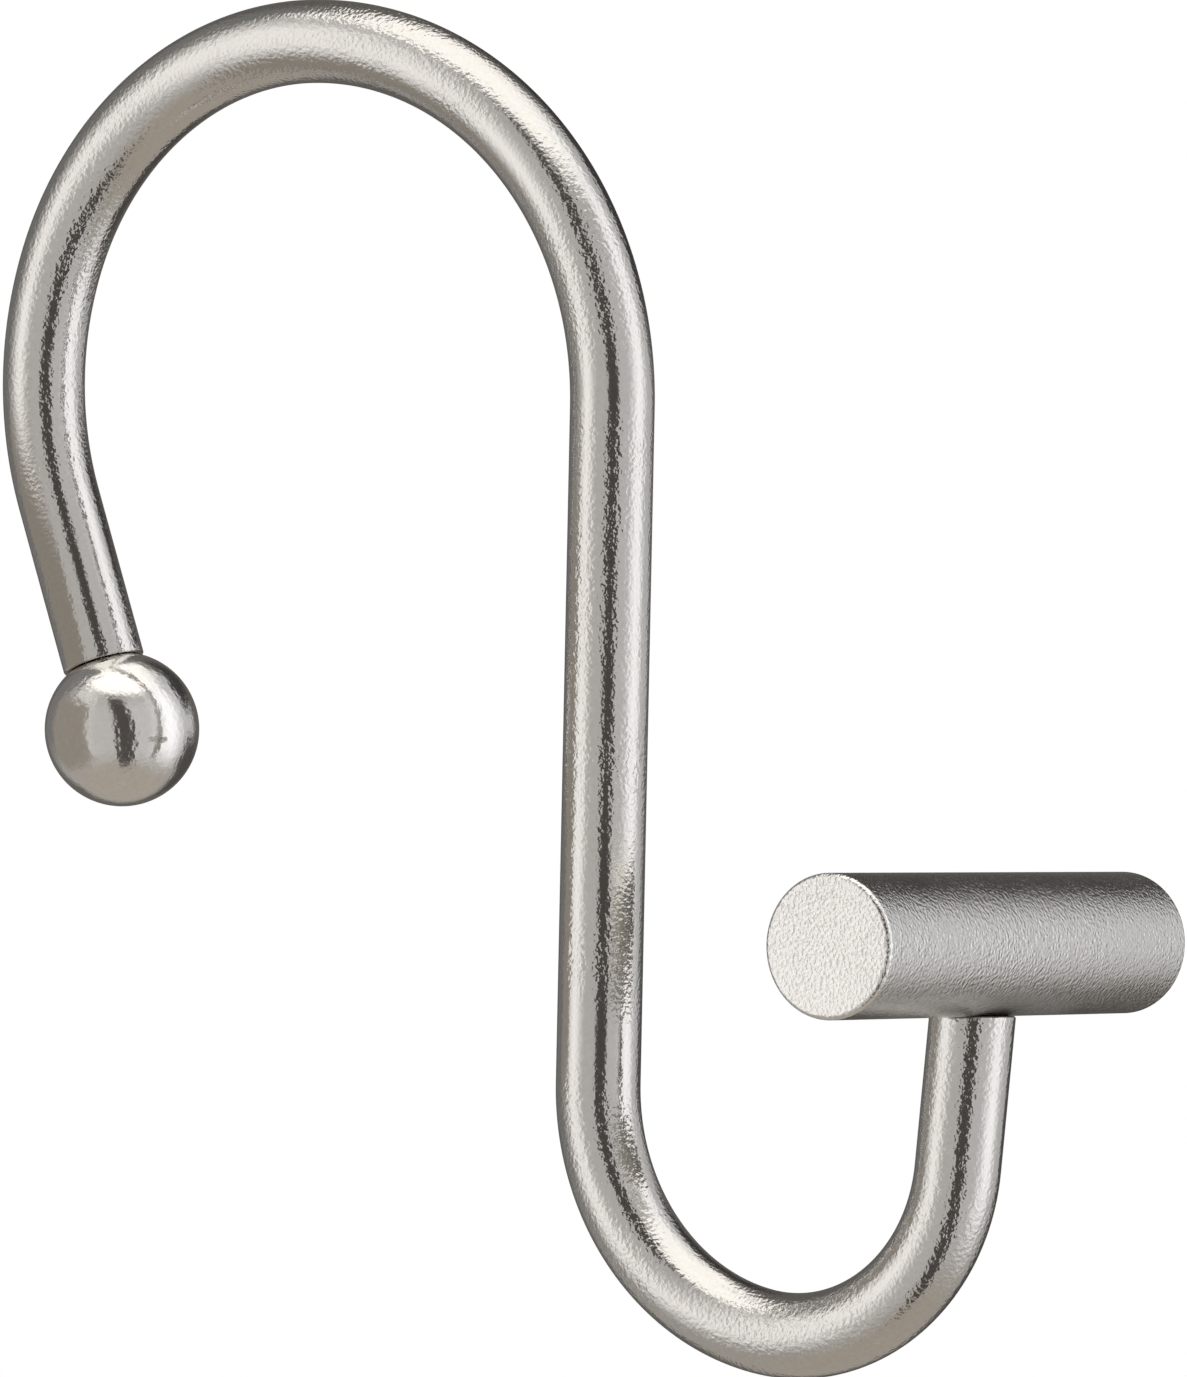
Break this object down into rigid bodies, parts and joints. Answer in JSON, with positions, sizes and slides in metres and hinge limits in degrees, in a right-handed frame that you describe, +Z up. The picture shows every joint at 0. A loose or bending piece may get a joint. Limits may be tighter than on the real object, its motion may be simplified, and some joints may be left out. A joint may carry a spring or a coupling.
{
  "type": "shower curtain hook",
  "caption": "S-shaped round wire hook: a large open loop ending in a ball goes over a rod, and a small bend ending in a cross bar holds the curtain.",
  "frame": {"origin": "on the axis of the curtain rod that the hook hangs on, in the hook's middle plane", "axes": "+Z up as it hangs, +Y along the rod and along the cross bar, +X from the rod loop towards the cross bar"},
  "size_m": [0.0709, 0.032, 0.0777],
  "materials": {
    "wire_nickel": "satin nickel plate with a fine grain",
    "ball_nickel": "smoother, half-gloss nickel plate",
    "bar_nickel": "satin nickel plate with a fine pebbled grain"
  },
  "bodies": {
    "root": {"hook_wire": "wire_nickel", "end_ball": "ball_nickel", "cross_bar": "bar_nickel"}
  },
  "joints": []
}
